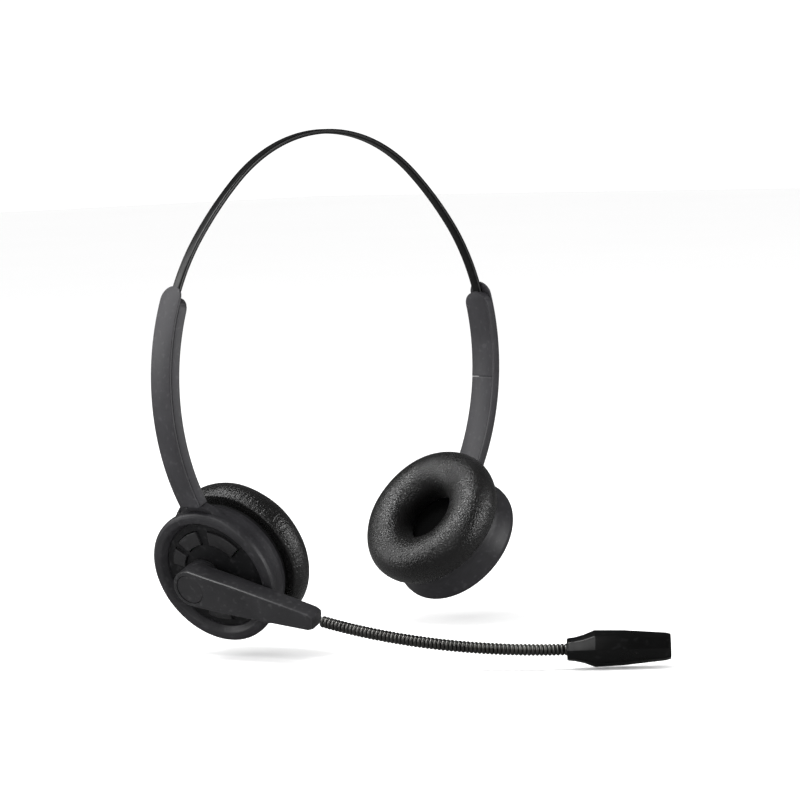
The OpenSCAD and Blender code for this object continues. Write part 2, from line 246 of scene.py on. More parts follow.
def cutAway(piece, point, normal):
    startEdit(piece)
    bpy.ops.mesh.select_all(action="SELECT")
    bpy.ops.mesh.bisect(plane_co=point, plane_no=normal, use_fill=True, clear_outer=True)
    endEdit()


# the frames the cups are made in: X down the face, Z straight out of it

cupPlace = {"centre": (0.06412, -0.15868), "turns": {"left": (22, 8), "right": (37, 0)},
            "armEnd": 31.1}


def cupPlaceFrame(side, tilt, yaw):
    sign = -1 if side == "left" else 1
    tilt, yaw = math.radians(tilt), math.radians(yaw)
    outward = (sign * math.cos(tilt) * math.cos(yaw),
               -math.cos(tilt) * math.sin(yaw),
               -math.sin(tilt))
    down = (-sign * math.sin(tilt) * math.cos(yaw),
            math.sin(tilt) * math.sin(yaw),
            -math.cos(tilt))
    x, z = cupPlace["centre"]
    return axesFrame(Vector((sign * x, 0, z)), down, outward)


cupFrame = {side: cupPlaceFrame(side, *turns) for side, turns in cupPlace["turns"].items()}
armEndFrame = {side: cupPlaceFrame(side, cupPlace["armEnd"], 0) for side in ("left", "right")}


# shader node groups that the finishes share


def newGroup(name, inputs, outputs):
    # a vector input has a tuple as its starting value, a number input a float
    group = bpy.data.node_groups.new(name, "ShaderNodeTree")
    for label, value in inputs:
        kind = "NodeSocketVector" if isinstance(value, tuple) else "NodeSocketFloat"
        socket = group.interface.new_socket(name=label, in_out="INPUT", socket_type=kind)
        socket.default_value = value
    for label in outputs:
        group.interface.new_socket(name=label, in_out="OUTPUT", socket_type="NodeSocketFloat")
    return group, group.nodes.new("NodeGroupInput").outputs, group.nodes.new("NodeGroupOutput")


def addNode(tree, kind, links=None, **settings):
    # makes a node; links maps a socket to a value or to another node's output
    node = tree.nodes.new("ShaderNode" + kind)
    for key, value in settings.items():
        setattr(node, key, value)
    for socket, value in (links or {}).items():
        if isinstance(value, bpy.types.NodeSocket):
            tree.links.new(value, node.inputs[socket])
        else:
            node.inputs[socket].default_value = value
    return node


def mathNode(tree, operation, a, b=None, clamp=False):
    links = {0: a} if b is None else {0: a, 1: b}
    return addNode(tree, "Math", links, operation=operation, use_clamp=clamp).outputs[0]


def multiplied(tree, a, b, clamp=False):
    return mathNode(tree, "MULTIPLY", a, b, clamp)


def remap(tree, value, low, high, toLow=0.0, toHigh=1.0):
    links = {"Value": value, "From Min": low, "From Max": high, "To Min": toLow, "To Max": toHigh}
    return addNode(tree, "MapRange", links).outputs["Result"]


def toneSpread(tree, tone, toLow=0.0, toHigh=1.0):
    # noise keeps to the middle of its range, so the middle is spread out
    return remap(tree, tone, 0.3, 0.7, toLow, toHigh)


def blendColour(tree, factor, a, b):
    return addNode(tree, "Mix", {0: factor, 6: a, 7: b}, data_type="RGBA").outputs[2]


def objectCoordinates(tree):
    return addNode(tree, "TexCoord").outputs["Object"]


def noiseAt(tree, coordinates, scale, detail=3.0, roughness=0.5):
    links = {"Vector": coordinates, "Scale": scale, "Detail": detail, "Roughness": roughness}
    return addNode(tree, "TexNoise", links).outputs["Fac"]


def makeMouldedGrain():
    # fine spark-eroded texture of a moulded part: height, slow changes of tone, flecks
    group, given, out = newGroup(
        "mouldedGrain",
        [("Vector", (0.0, 0.0, 0.0)), ("Grain Size", 0.00035), ("Tone Size", 0.012)],
        ["Height", "Tone", "Fleck"])
    fine = mathNode(group, "DIVIDE", 1.0, given["Grain Size"])
    slow = mathNode(group, "DIVIDE", 1.0, given["Tone Size"])
    pits = noiseAt(group, given["Vector"], fine, 2.0, 0.6)
    tone = noiseAt(group, given["Vector"], slow, 4.0, 0.6)
    fleck = noiseAt(group, given["Vector"], multiplied(group, fine, 0.35), 1.0, 0.4)
    group.links.new(pits, out.inputs["Height"])
    group.links.new(tone, out.inputs["Tone"])
    group.links.new(remap(group, fleck, 0.62, 0.7), out.inputs["Fleck"])
    return group


def makeEdgeWear():
    # where a corner is rubbed: the rounded normal leaves the true one there, in patches
    group, given, out = newGroup(
        "edgeWear",
        [("Vector", (0.0, 0.0, 0.0)), ("Width", 0.0005), ("Patchiness", 90.0)],
        ["Mask"])
    soft = addNode(group, "Bevel", {"Radius": given["Width"]}, samples=4).outputs[0]
    true = addNode(group, "NewGeometry").outputs["Normal"]
    turn = addNode(group, "VectorMath", {0: soft, 1: true}, operation="DOT_PRODUCT")
    edge = remap(group, turn.outputs["Value"], 0.995, 0.86)
    patch = remap(group, noiseAt(group, given["Vector"], given["Patchiness"]), 0.42, 0.68)
    group.links.new(multiplied(group, edge, patch, clamp=True), out.inputs["Mask"])
    return group


def makeDust():
    # sparse specks, more of them on what faces up
    group, given, out = newGroup(
        "dustFilm",
        [("Vector", (0.0, 0.0, 0.0)), ("Speck Size", 0.0006), ("Amount", 0.5)],
        ["Mask"])
    scale = mathNode(group, "DIVIDE", 1.0, given["Speck Size"])
    specks = addNode(group, "TexVoronoi", {"Vector": given["Vector"], "Scale": scale})
    dots = remap(group, specks.outputs["Distance"], 0.16, 0.05)
    clumps = noiseAt(group, given["Vector"], multiplied(group, scale, 0.3))
    keep = remap(group, clumps, 0.55, 0.7)
    normal = addNode(group, "NewGeometry").outputs["Normal"]
    up = addNode(group, "SeparateXYZ", {0: normal}).outputs["Z"]
    facing = remap(group, up, -0.3, 1.0, 0.15, 1.0)
    mask = multiplied(group, multiplied(group, dots, keep), facing)
    group.links.new(multiplied(group, mask, given["Amount"], clamp=True), out.inputs["Mask"])
    return group


def makeLeatherGrain():
    # pebbled skin: rounded cells with creases between them, at two sizes
    group, given, out = newGroup(
        "leatherGrain",
        [("Vector", (0.0, 0.0, 0.0)), ("Cell Size", 0.0012)],
        ["Height", "Crease", "Tone"])
    place = given["Vector"]
    scale = mathNode(group, "DIVIDE", 1.0, given["Cell Size"])
    warp = addNode(group, "TexNoise", {"Vector": place, "Scale": multiplied(group, scale, 0.4)})
    offset = addNode(
        group, "VectorMath", {0: warp.outputs["Color"], "Scale": 0.0009}, operation="SCALE")
    moved = addNode(
        group, "VectorMath", {0: place, 1: offset.outputs[0]}, operation="ADD").outputs[0]
    big, small = (
        addNode(group, "TexVoronoi", {"Vector": moved, "Scale": size}, feature="DISTANCE_TO_EDGE")
        for size in (scale, multiplied(group, scale, 2.3)))
    bigHeight = remap(group, big.outputs["Distance"], 0.0, 0.22)
    smallHeight = remap(group, small.outputs["Distance"], 0.0, 0.2, 0.0, 0.4)
    group.links.new(mathNode(group, "ADD", bigHeight, smallHeight), out.inputs["Height"])
    # Crease is 1 in the grooves between cells; the leatherette paints shade there and makes them
    # rougher
    group.links.new(remap(group, big.outputs["Distance"], 0.1, 0.0), out.inputs["Crease"])
    group.links.new(noiseAt(group, place, 60.0, 4.0), out.inputs["Tone"])
    return group


def makeWeave():
    # plain weave in the plane of the cloth
    group, given, out = newGroup(
        "plainWeave", [("Vector", (0.0, 0.0, 0.0)), ("Thread", 0.0006)], ["Height", "Hole"])
    parts = addNode(group, "SeparateXYZ", {0: given["Vector"]})
    waves = []
    for axis in ("X", "Y"):
        threads = mathNode(group, "DIVIDE", parts.outputs[axis], given["Thread"])
        waves.append(mathNode(group, "SINE", multiplied(group, threads, math.pi)))
    height = mathNode(group, "ABSOLUTE", mathNode(group, "ADD", *waves))
    group.links.new(height, out.inputs["Height"])
    group.links.new(remap(group, height, 0.25, 0.0), out.inputs["Hole"])
    return group


mouldedGrain = makeMouldedGrain()
edgeWear = makeEdgeWear()
dustFilm = makeDust()
leatherGrain = makeLeatherGrain()
plainWeave = makeWeave()
print("shader groups made")


# materials


def useGroup(tree, group, coordinates, **values):
    node = tree.nodes.new("ShaderNodeGroup")
    node.node_tree = group
    tree.links.new(coordinates, node.inputs["Vector"])
    for label, value in values.items():
        node.inputs[label.replace("_", " ")].default_value = value
    return node.outputs


def newMaterial(name, **constants):
    material = bpy.data.materials.new(name)
    material.use_nodes = True
    tree = material.node_tree
    shader = tree.nodes["Principled BSDF"]
    for label, value in constants.items():
        shader.inputs[label.replace("_", " ")].default_value = value
    return material, tree, shader


def shade(colour, amount=1.0):
    return tuple(part * amount for part in colour) + (1.0,)


def addRelief(tree, shader, height, strength, distance):
    bump = addNode(tree, "Bump", {"Height": height, "Strength": strength, "Distance": distance})
    tree.links.new(bump.outputs["Normal"], shader.inputs["Normal"])


def mouldedPlastic(name, colour, worn, roughness, grain=0.0006, bump=0.12, dust=0.03, wear=0.35,
                   specular=0.4):
    material, tree, shader = newMaterial(name, Specular_IOR_Level=specular)
    place = objectCoordinates(tree)
    skin = useGroup(tree, mouldedGrain, place, Grain_Size=grain)
    edge = useGroup(tree, edgeWear, place)
    specks = useGroup(tree, dustFilm, place, Amount=dust)
    tone = blendColour(tree, toneSpread(tree, skin["Tone"]), shade(colour, 0.8), shade(colour, 1.2))
    flecked = blendColour(tree, multiplied(tree, skin["Fleck"], 0.25), tone, shade(worn))
    rubbed = blendColour(tree, multiplied(tree, edge["Mask"], wear), flecked, shade(worn))
    dusted = blendColour(tree, specks["Mask"], rubbed, (0.2, 0.19, 0.18, 1.0))
    tree.links.new(dusted, shader.inputs["Base Color"])
    rough = toneSpread(tree, skin["Tone"], roughness - 0.05, roughness + 0.05)
    polished = mathNode(tree, "SUBTRACT", rough, multiplied(tree, edge["Mask"], 0.12 * wear))
    tree.links.new(polished, shader.inputs["Roughness"])
    addRelief(tree, shader, skin["Height"], bump, 0.0001)
    return material


def satinPlastic(name, colour, worn, roughness, grain, wear):
    # smoother than the soft-touch parts, with next to no dust or relief
    return mouldedPlastic(name, colour, worn, roughness, grain, bump=0.03, dust=0.02, wear=wear,
                          specular=0.3)


def leatherette(name, colour, roughness):
    material, tree, shader = newMaterial(
        name, Specular_IOR_Level=0.5, Sheen_Weight=0.02, Sheen_Roughness=0.4)
    place = objectCoordinates(tree)
    skin = useGroup(tree, leatherGrain, place)
    specks = useGroup(tree, dustFilm, place, Amount=0.03)
    tone = blendColour(tree, toneSpread(tree, skin["Tone"]), shade(colour), shade(colour, 1.3))
    # painted shade: the creases between the pebbles are painted darker, down to 0.55 of the colour
    creaseShaded = blendColour(tree, skin["Crease"], tone, shade(colour, 0.55))
    dusted = blendColour(tree, specks["Mask"], creaseShaded, (0.16, 0.155, 0.15, 1.0))
    tree.links.new(dusted, shader.inputs["Base Color"])
    smooth = toneSpread(tree, skin["Tone"], roughness - 0.05, roughness + 0.06)
    rough = mathNode(tree, "ADD", smooth, multiplied(tree, skin["Crease"], 0.12))
    tree.links.new(rough, shader.inputs["Roughness"])
    addRelief(tree, shader, skin["Height"], 0.5, 0.00014)
    return material


def metalSkin(name, colour, roughness):
    material, tree, shader = newMaterial(name, Metallic=1.0)
    place = objectCoordinates(tree)
    skin = useGroup(tree, mouldedGrain, place, Grain_Size=0.0008, Tone_Size=0.006)
    tone = blendColour(tree, toneSpread(tree, skin["Tone"]), shade(colour, 0.7), shade(colour))
    tree.links.new(tone, shader.inputs["Base Color"])
    rough = toneSpread(tree, skin["Tone"], roughness, roughness + 0.12)
    tree.links.new(rough, shader.inputs["Roughness"])
    addRelief(tree, shader, skin["Height"], 0.35, 0.00003)
    return material


def clothSkin(name, colour, thread):
    material, tree, shader = newMaterial(
        name, Sheen_Weight=0.01, Roughness=0.95, Specular_IOR_Level=0.05)
    weave = useGroup(tree, plainWeave, objectCoordinates(tree), Thread=thread)
    # painted shade: the gaps between the threads are painted near black, as the dark space behind
    # the cloth
    tone = blendColour(tree, weave["Hole"], shade(colour), (0.0008, 0.0008, 0.0008, 1.0))
    tree.links.new(tone, shader.inputs["Base Color"])
    addRelief(tree, shader, weave["Height"], 0.6, 0.0001)
    return material


# colour, colour where it is worn, roughness
finish = {
    "arm": mouldedPlastic(
        "armSoftBlack", (0.0185, 0.0178, 0.0205), (0.05, 0.049, 0.053), 0.5, specular=0.36),
    "housing": mouldedPlastic(
        "housingSoftBlack", (0.0125, 0.0121, 0.0138), (0.04, 0.039, 0.043), 0.47, specular=0.3),
    "plate": mouldedPlastic(
        "facePlateBlack", (0.005, 0.005, 0.0056), (0.03, 0.029, 0.031), 0.48, specular=0.2),
    "key": mouldedPlastic(
        "keyBlack", (0.0105, 0.0103, 0.011), (0.04, 0.04, 0.042), 0.4, specular=0.3),
    "boom": mouldedPlastic(
        "boomSoftBlack", (0.0125, 0.0122, 0.0135), (0.05, 0.049, 0.051), 0.42, specular=0.34),
    "inner": mouldedPlastic(
        "innerPlastic", (0.006, 0.006, 0.0065), (0.02, 0.02, 0.02), 0.6, specular=0.2),
    "ribbon": mouldedPlastic("ribbonRed", (0.25, 0.03, 0.02), (0.4, 0.1, 0.08), 0.5),
    "film": mouldedPlastic("diaphragmFilm", (0.6, 0.55, 0.42), (0.7, 0.68, 0.6), 0.3),
    "board": mouldedPlastic("boardGreen", (0.01, 0.09, 0.03), (0.1, 0.2, 0.1), 0.4),
    "wrap": mouldedPlastic("batteryWrap", (0.08, 0.09, 0.1), (0.2, 0.2, 0.2), 0.45),
    "lens": mouldedPlastic("indicatorSmoke", (0.002, 0.002, 0.003), (0.02, 0.02, 0.03), 0.15),
    "band": satinPlastic(
        "bandSatinBlack", (0.0012, 0.0012, 0.0013), (0.012, 0.012, 0.013), 0.34, 0.0006, 0.2),
    "capsule": satinPlastic(
        "capsuleBlack", (0.0007, 0.0007, 0.0007), (0.01, 0.01, 0.011), 0.3, 0.0008, 0.15),
    "pad": leatherette("padLeatherette", (0.0026, 0.0025, 0.0025), 0.26),
    "neck": metalSkin("neckBlackenedSteel", (0.12, 0.118, 0.113), 0.24),
    "steel": metalSkin("springSteel", (0.35, 0.35, 0.36), 0.3),
    "gold": metalSkin("switchGold", (0.7, 0.5, 0.2), 0.25),
    "magnet": metalSkin("magnetNickel", (0.5, 0.48, 0.45), 0.3),
    "mesh": metalSkin("meshBlackSteel", (0.08, 0.08, 0.08), 0.35),
    "cloth": clothSkin("speakerCloth", (0.0008, 0.0008, 0.0008), 0.0006),
}
print("materials made:", len(finish))

# the first entry that the end of a CAD node's name fits gives its finish
cadFinish = {
    "band_core": "steel", "band_sleeve": "band", "link_ribbon": "ribbon", "stop_rivets": "steel",
    "stop_block": "inner", "friction_leaf": "steel", "arm_screws": "steel", "arm_shell": "arm",
    "arm_cover": "arm", "arm_panel": "arm", "housing": "housing", "face_plate": "plate",
    "cup_screws": "steel", "baffle": "inner", "driver_frame": "inner", "driver_magnet": "magnet",
    "diaphragm": "film", "speaker_cloth": "cloth", "pad_ring": "inner", "ear_pad": "pad",
    "key": "key", "dome_switches": "gold", "main_board": "board", "battery": "wrap",
    "charging_socket": "steel", "indicator_lens": "lens", "pivot_bush": "inner",
    "wave_washer": "steel", "pivot_screw": "steel", "boom_arm": "boom", "boom_cap": "boom",
    "neck_collar": "capsule", "gooseneck_1": "neck", "gooseneck_2": "neck", "gooseneck_3": "neck",
    "capsule_front": "capsule", "capsule_rear": "capsule", "mic_element": "magnet",
    "mic_mesh": "mesh",
}
for nodeName, node in frame["nodes"].items():
    kind = next(kind for ending, kind in cadFinish.items() if nodeName.endswith(ending))
    node.data.materials.clear()
    node.data.materials.append(finish[kind])
print("CAD nodes given their finish:", len(frame["nodes"]))


def finished(piece, body, kind, slotName, *nodes, angle=32):
    selectOnly(piece)
    bpy.ops.object.shade_smooth_by_angle(angle=math.radians(angle))
    piece.data.materials.clear()
    piece.data.materials.append(finish[kind])
    if body:
        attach(piece, body)
    if nodes:
        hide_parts(*nodes)


# band: half of it is spun through three arcs, each (centre, angle, steps), then mirrored

armArc = {"radius": 83, "centre": (4.126, -89.319), "from": 68.64, "length": 76}
bandSizes = {"width": 3.9, "thickness": 1.8, "rounding": 0.6, "mirrorMerge": 0.01,
             "arcs": [((0, -74.1), 39, 44), ((-47.199, -132.386), 11, 10),
                      (armArc["centre"], 39.7, 26)]}


def makeBand():
    s = bandSizes
    bpy.ops.mesh.primitive_plane_add(
        size=1, location=(0, 0, s["thickness"] / 2 * mm), rotation=(0, math.pi / 2, 0))
    bpy.context.object.scale = (s["thickness"] * mm, s["width"] * mm, 1)
    band = named("bandSleeve")
    startEdit(band)
    bpy.ops.mesh.select_all(action="SELECT")
    bpy.ops.mesh.bevel(affect="VERTICES", offset=s["rounding"] * mm, segments=4)
    bpy.ops.mesh.select_all(action="SELECT")
    bpy.ops.mesh.delete(type="ONLY_FACE")
    bpy.ops.mesh.select_all(action="SELECT")
    for (x, z), angle, steps in s["arcs"]:
        bpy.ops.mesh.spin(steps=steps, angle=-math.radians(angle), center=(x * mm, 0, z * mm),
                          axis=(0, 1, 0))
    bpy.ops.mesh.edge_face_add()
    endEdit()
    applied(band, "MIRROR", use_axis=(True, False, False), use_mirror_merge=True,
            merge_threshold=s["mirrorMerge"] * mm)
    finished(cleaned(band), "band", "band", "band_black", "band_sleeve")


makeBand()
print("band made")

# arms: an outer plate on a wider body, which is split into a rim, a cover and a panel

armSizes = {"tops": {"left": -6, "right": 1.5}, "endGap": 0.15, "topRound": 4.9,
            "topSegments": 14, "steps": 44, "forward": {"left": 1, "right": -1},
            "plateIn": 1.22, "plateOut": 2.15, "plateWidth": 9.9, "plateFlare": 0.25,
            "plateRound": 0.42, "bodyDrop": 3, "bodyIn": -2.1, "bodyOut": 1.12, "bodyWidth": 11.3,
            "bodyFlare": 0.3, "bodyTopRound": 5.5, "rim": 0.85, "rimRound": 0.42, "rimGap": 0.04,
            "seam": 39, "seamGap": 0.06, "seamRound": 0.16}


def armFrame(side):
    # takes a piece bent round (radius, 0, 0) in its own frame to its place on the head
    angle = math.radians(armArc["from"])
    turn = Matrix((
        (-math.sin(angle), 0, math.cos(angle)),
        (0, 1, 0),
        (-math.cos(angle), 0, -math.sin(angle)))).to_4x4()
    x, z = armArc["centre"]
    inwards = Matrix.Translation((-armArc["radius"] * mm, 0, 0))
    matrix = Matrix.Translation((x * mm, 0, z * mm)) @ turn @ inwards
    return matrix if side == "right" else Matrix.Rotation(math.pi, 4, "Z") @ matrix


def armBlank(name, top, inner, outer, innerWidth, outerWidth, topRound):
    # straight blank along Z, with its outer side towards -X
    length = armArc["length"] - armSizes["endGap"]
    middle = -(inner + outer) / 2 * mm
    bpy.ops.mesh.primitive_cube_add(size=1, location=(middle, 0, (top + length) / 2 * mm))
    bpy.context.object.scale = ((outer - inner) * mm, innerWidth * mm, (length - top) * mm)
    blank = named(name)

    def acrossTheTop(edge):
        a, b = (vertex.co for vertex in edge.verts)
        return max(a.z, b.z) < (top + 1) * mm and abs(a.y - b.y) < 1.5 * mm

    startEdit(blank)
    pick(blank, "VERT", lambda vertex: vertex.co.x < middle)
    widen(1, outerWidth / innerWidth)
    pick(blank, "EDGE", acrossTheTop)
    bpy.ops.mesh.bevel(
        offset=topRound * mm, segments=armSizes["topSegments"], clamp_overlap=False)
    endEdit()
    return blank


def bentArm(piece, side):
    # enough rings to bend smoothly, then the bend and the place on the head
    heights = [vertex.co.z for vertex in piece.data.vertices]
    low, length = min(heights), max(heights) - min(heights)
    startEdit(piece)
    count = armSizes["steps"]
    for step in range(1, count):
        bpy.ops.mesh.select_all(action="SELECT")
        bpy.ops.mesh.bisect(plane_co=(0, 0, low + length * step / count), plane_no=(0, 0, 1))
    endEdit()
    applied(piece, "SIMPLE_DEFORM", deform_method="BEND", deform_axis="Y",
            angle=length / (armArc["radius"] * mm))
    return placed(piece, armFrame(side))


def makeArm(side):
    s = armSizes
    top, forward = s["tops"][side], s["forward"][side]
    plate = armBlank(side + "ArmPlate", top, s["plateIn"], s["plateOut"],
                     s["plateWidth"] + s["plateFlare"], s["plateWidth"], s["topRound"])
    rounded(plate, s["plateRound"], 3)
    rim = armBlank(side + "ArmRim", top + s["bodyDrop"], s["bodyIn"], s["bodyOut"],
                   s["bodyWidth"], s["plateWidth"] + s["bodyFlare"], s["bodyTopRound"])
    cover = copied(rim, side + "ArmCover")
    panel = copied(rim, side + "ArmPanel")
    cut = forward * (s["bodyWidth"] / 2 - s["rim"]) * mm
    inside = cut - forward * s["rimGap"] * mm
    cutAway(rim, (0, cut, 0), (0, -forward, 0))
    cutAway(cover, (0, inside, 0), (0, forward, 0))
    cutAway(cover, (0, 0, (s["seam"] - s["seamGap"]) * mm), (0, 0, 1))
    cutAway(panel, (0, inside, 0), (0, forward, 0))
    cutAway(panel, (0, 0, (s["seam"] + s["seamGap"]) * mm), (0, 0, -1))
    rounded(rim, s["rimRound"], 3)
    rounded(cover, s["seamRound"], 2)
    rounded(panel, s["seamRound"], 2)
    arm = side + "_arm"
    finished(bentArm(plate, side), arm, "arm", "arm_black", arm + "_shell")
    finished(bentArm(rim, side), arm, "arm", "arm_black")
    finished(bentArm(cover, side), arm, "arm", "arm_black", arm + "_cover")
    finished(bentArm(panel, side), arm, "arm", "arm_black", arm + "_panel", side + "_arm_screws")


for side in ("left", "right"):
    makeArm(side)
print("arms made")

# cup housings: a lathed wall of (radius, height, rounding), drawn out at the top to the arm

outerWall = [(22.2, -3.2, 0), (22.3, -7.9, 0), (22.35, -8.0, 0), (24.3, -8.0, 0.5),
             (24.55, -6.6, 0), (24.75, -6.3, 0), (24.85, -5.2, 0), (24.95, -4.2, 0),
             (25.1, -3.2, 0), (25.25, -2.3, 0), (25.45, -1.5, 0), (25.7, -0.7, 0),
             (25.95, 0.2, 0), (26.25, 1.4, 1.2), (26.15, 3.2, 1.4)]
housingSizes = {
    "walls": {
        "left": outerWall + [(24.7, 4.0, 1.0), (22.6, 3.8, 1.3), (20.95, 1.5, 0.7),
                             (20.85, 0.2, 0.1), (20.85, -0.9, 0)],
        "right": outerWall + [(24.9, 4.1, 0.9), (20.0, 4.55, 0.3), (19.6, 4.35, 0.1),
                              (19.2, 4.6, 0.3), (8.0, 4.8, 0), (0.05, 4.8, 0)]},
    "segments": 256, "capHeight": 4, "pullFrom": 23.6, "lipFrom": 1.2,
    "neckReach": 28.35, "neckHalf": 5.6, "neckLow": -6.3, "neckHigh": -2.08, "neckSpread": 36,
    "neckBase": 24.9, "neckFlare": 2.8, "neckBand": {"left": (-6.2, -3.6), "right": (-5.0, -2.3)},
    "belowFade": 0.4, "belowShare": 0.9, "aboveFade": 3.2, "aboveCurve": 2.6, "aboveShare": 0.8,
    "outerNarrow": 0.12, "pullOnset": 14}


def neckPull(point, side):
    # draws the wall out to meet the arm, thick as the arm and flaring into the ring
    s = housingSizes
    radius = math.hypot(point.x, point.y) / mm
    if radius < s["pullFrom"] or point.z > s["lipFrom"] * mm:
        return point
    toArm = armEndFrame[side].inverted() @ cupFrame[side]
    here = toArm @ point / mm
    turn = math.degrees(math.atan2(abs(here.y), -here.x))
    edge = math.degrees(math.atan2(s["neckHalf"], s["neckReach"]))
    if turn > edge + s["neckSpread"]:
        return point
    if turn <= edge:
        reach = s["neckReach"] / math.cos(math.radians(turn))
    else:
        corner = s["neckReach"] / math.cos(math.radians(edge))
        away = (turn - edge) / s["neckSpread"]
        reach = s["neckBase"] + (corner - s["neckBase"]) * (1 - away) ** s["neckFlare"]
    low, high = s["neckBand"][side]
    share = 1.0
    if here.z < low:
        share = max(0.0, 1 - (low - here.z) / s["belowFade"]) * s["belowShare"]
    elif here.z > high:
        fade = max(0.0, 1 - (here.z - high) / s["aboveFade"])
        share = fade ** s["aboveCurve"] * s["aboveShare"]
    level = min(1.0, max(0.0, (here.z - low) / (high - low)))
    grown = max(1.0, reach / math.hypot(here.x, here.y))
    narrow = 1 - s["outerNarrow"] * level
    height = s["neckLow"] + level * (s["neckHigh"] - s["neckLow"])
    target = Vector((here.x * grown, here.y * grown * narrow, height))
    pulled = min(1.0, (grown - 1) * s["pullOnset"])
    moved = here.lerp(target, share * pulled)
    return toArm.inverted() @ (moved * mm)


def makeHousing(side):
    s = housingSizes
    housing = turned(side + "Housing", roundedPath(s["walls"][side]), s["segments"])
    if side == "right":
        startEdit(housing)
        fillHole(housing, lambda z: z > s["capHeight"] * mm)
        endEdit()
    moveVerts(housing, lambda point: neckPull(point, side))
    cleaned(housing)
    placed(housing, cupFrame[side])
    finished(housing, side + "_arm", "housing", "housing_black", side + "_housing", angle=38)


for side in ("left", "right"):
    makeHousing(side)
print("housings made")

# keys on the boom cup: body name, then the bearing of its middle and half its angle

keySizes = {"inner": 12.8, "outer": 18.2, "low": -1.0, "high": 2.0, "edge": 0.45,
            "places": {"volume_up": (25, 11), "answer": (64, 17), "volume_down": (119, 22),
                       "mute": (-80, 17)}}


def makeKey(body, middle, half):
    s = keySizes
    width, height = (s["outer"] - s["inner"]) * mm, (s["high"] - s["low"]) * mm
    centre = ((s["inner"] + s["outer"]) / 2 * mm, 0, (s["high"] + s["low"]) / 2 * mm)
    bpy.ops.mesh.primitive_plane_add(size=1, location=centre, rotation=(math.pi / 2, 0, 0))
    bpy.context.object.scale = (width, height, 1)
    key = named(body + "Key")
    startEdit(key)
    bpy.ops.mesh.select_all(action="SELECT")
    bpy.ops.mesh.spin(
        steps=half, angle=math.radians(2 * half), center=(0, 0, 0), axis=(0, 0, 1))
    endEdit()
    cleaned(key)
    rounded(key, s["edge"], 4)
    # turned from where the spin left it to its bearing on the cup
    turns = sorted(math.atan2(vertex.co.y, vertex.co.x) for vertex in key.data.vertices)
    now = (turns[0] + turns[-1]) / 2
    bearing = math.radians(middle)
    target = math.atan2(-math.cos(bearing), -math.sin(bearing))
    placed(key, Matrix.Rotation(target - now, 4, "Z"))
    placed(key, cupFrame["left"])
    finished(key, body, "key", "key_grey", body + "_key", angle=40)


for body, (middle, half) in keySizes["places"].items():
    makeKey(body, middle, half)
print("keys made")

# boom arm: X runs along it, Z outwards, with the pivot at the origin

boomSizes = {"drop": 13.4, "hub": 7.3, "low": 4.9, "high": 12.6, "nose": 3.4, "length": 52,
             "noseCorner": (2, 1.0), "shoulder": 18, "shoulderIn": 1.05, "fall": 1.2,
             "topBand": 1.6, "topEdge": 0.95, "lowEdge": 0.35, "capPocket": (5.72, 11.55, 14),
             "foot": [(3.1, 4.95, 0), (3.1, 2.2, 0), (7.0, 2.2, 0.3), (7.0, 5.0, 0)],
             "cap": [(5.6, 11.6, 0), (5.6, 12.38, 0.22), (4.7, 12.42, 0.3), (0.05, 12.32, 0)],
             "capFill": 12, "segments": 96}
boomDrop = math.radians(boomSizes["drop"])
boomForward = cupFrame["left"].to_3x3() @ Vector((math.sin(boomDrop), math.cos(boomDrop), 0))
boomFrame = axesFrame(
    Vector(joints["boom_pivot"]["pos_m"]), boomForward, joints["boom_pivot"]["axis"])


def boomOutline(boom):
    # the back half of the hub, then both sides out to the nose
    s = boomSizes
    pick(boom, "VERT", lambda vertex: vertex.co.x > 0.5 * mm)
    bpy.ops.mesh.delete(type="VERT")
    back, inwards = s["noseCorner"]
    corners = [(s["shoulder"], s["hub"] - s["shoulderIn"]), (s["length"] - back, s["nose"]),
               (s["length"], s["nose"] - inwards)]
    for way in (1, -1):
        pick(boom, "VERT", lambda v: len(v.link_edges) == 1 and v.co.y * way > 0)
        for x, y in corners:
            mesh = bmesh.from_edit_mesh(boom.data)
            at = next(vertex for vertex in mesh.verts if vertex.select).co.copy()
            step = Vector((x * mm, way * y * mm, at.z)) - at
            bpy.ops.mesh.extrude_region_move(TRANSFORM_OT_translate={"value": step})
    bpy.ops.mesh.select_all(action="SELECT")
    bpy.ops.mesh.edge_face_add()


def makeBoom():
    s = boomSizes
    bpy.ops.mesh.primitive_circle_add(
        vertices=72, radius=s["hub"] * mm, location=(0, 0, s["low"] * mm))
    boom = named("boomArm")
    startEdit(boom)
    boomOutline(boom)
    bpy.ops.mesh.select_all(action="SELECT")
    pullUp(s["high"] - s["low"])
    endEdit()
    fall = math.radians(s["fall"])
    cutAway(boom, ((s["hub"] + 1) * mm, 0, s["high"] * mm), (math.sin(fall), 0, math.cos(fall)))
    cleaned(boom)

    def atTop(edge):
        high = min(vertex.co.z for vertex in edge.verts) > (s["high"] - s["topBand"]) * mm
        return high and any(abs(face.normal.z) < 0.5 for face in edge.link_faces)

    def atFoot(edge):
        return max(vertex.co.z for vertex in edge.verts) < (s["low"] + 0.01) * mm

    startEdit(boom)
    pick(boom, "EDGE", atTop)
    bpy.ops.mesh.bevel(offset=s["topEdge"] * mm, segments=4, profile=0.6)
    pick(boom, "EDGE", atFoot)
    bpy.ops.mesh.bevel(offset=s["lowEdge"] * mm, segments=2)
    endEdit()
    drilled(boom, "capPocket", *s["capPocket"], s["segments"])
    foot = turned("boomHub", roundedPath(s["foot"]), s["segments"])
    boom = placed(joined("boomArm", [boom, foot]), boomFrame)
    finished(boom, "boom", "boom", "boom_black", "boom_arm", angle=30)
    cap = turned("boomCap", roundedPath(s["cap"]), s["segments"])
    startEdit(cap)
    fillHole(cap, lambda z: z > s["capFill"] * mm)
    endEdit()
    finished(placed(cap, boomFrame), "boom", "boom", "boom_black", "boom_cap")


makeBoom()
print("boom arm made")
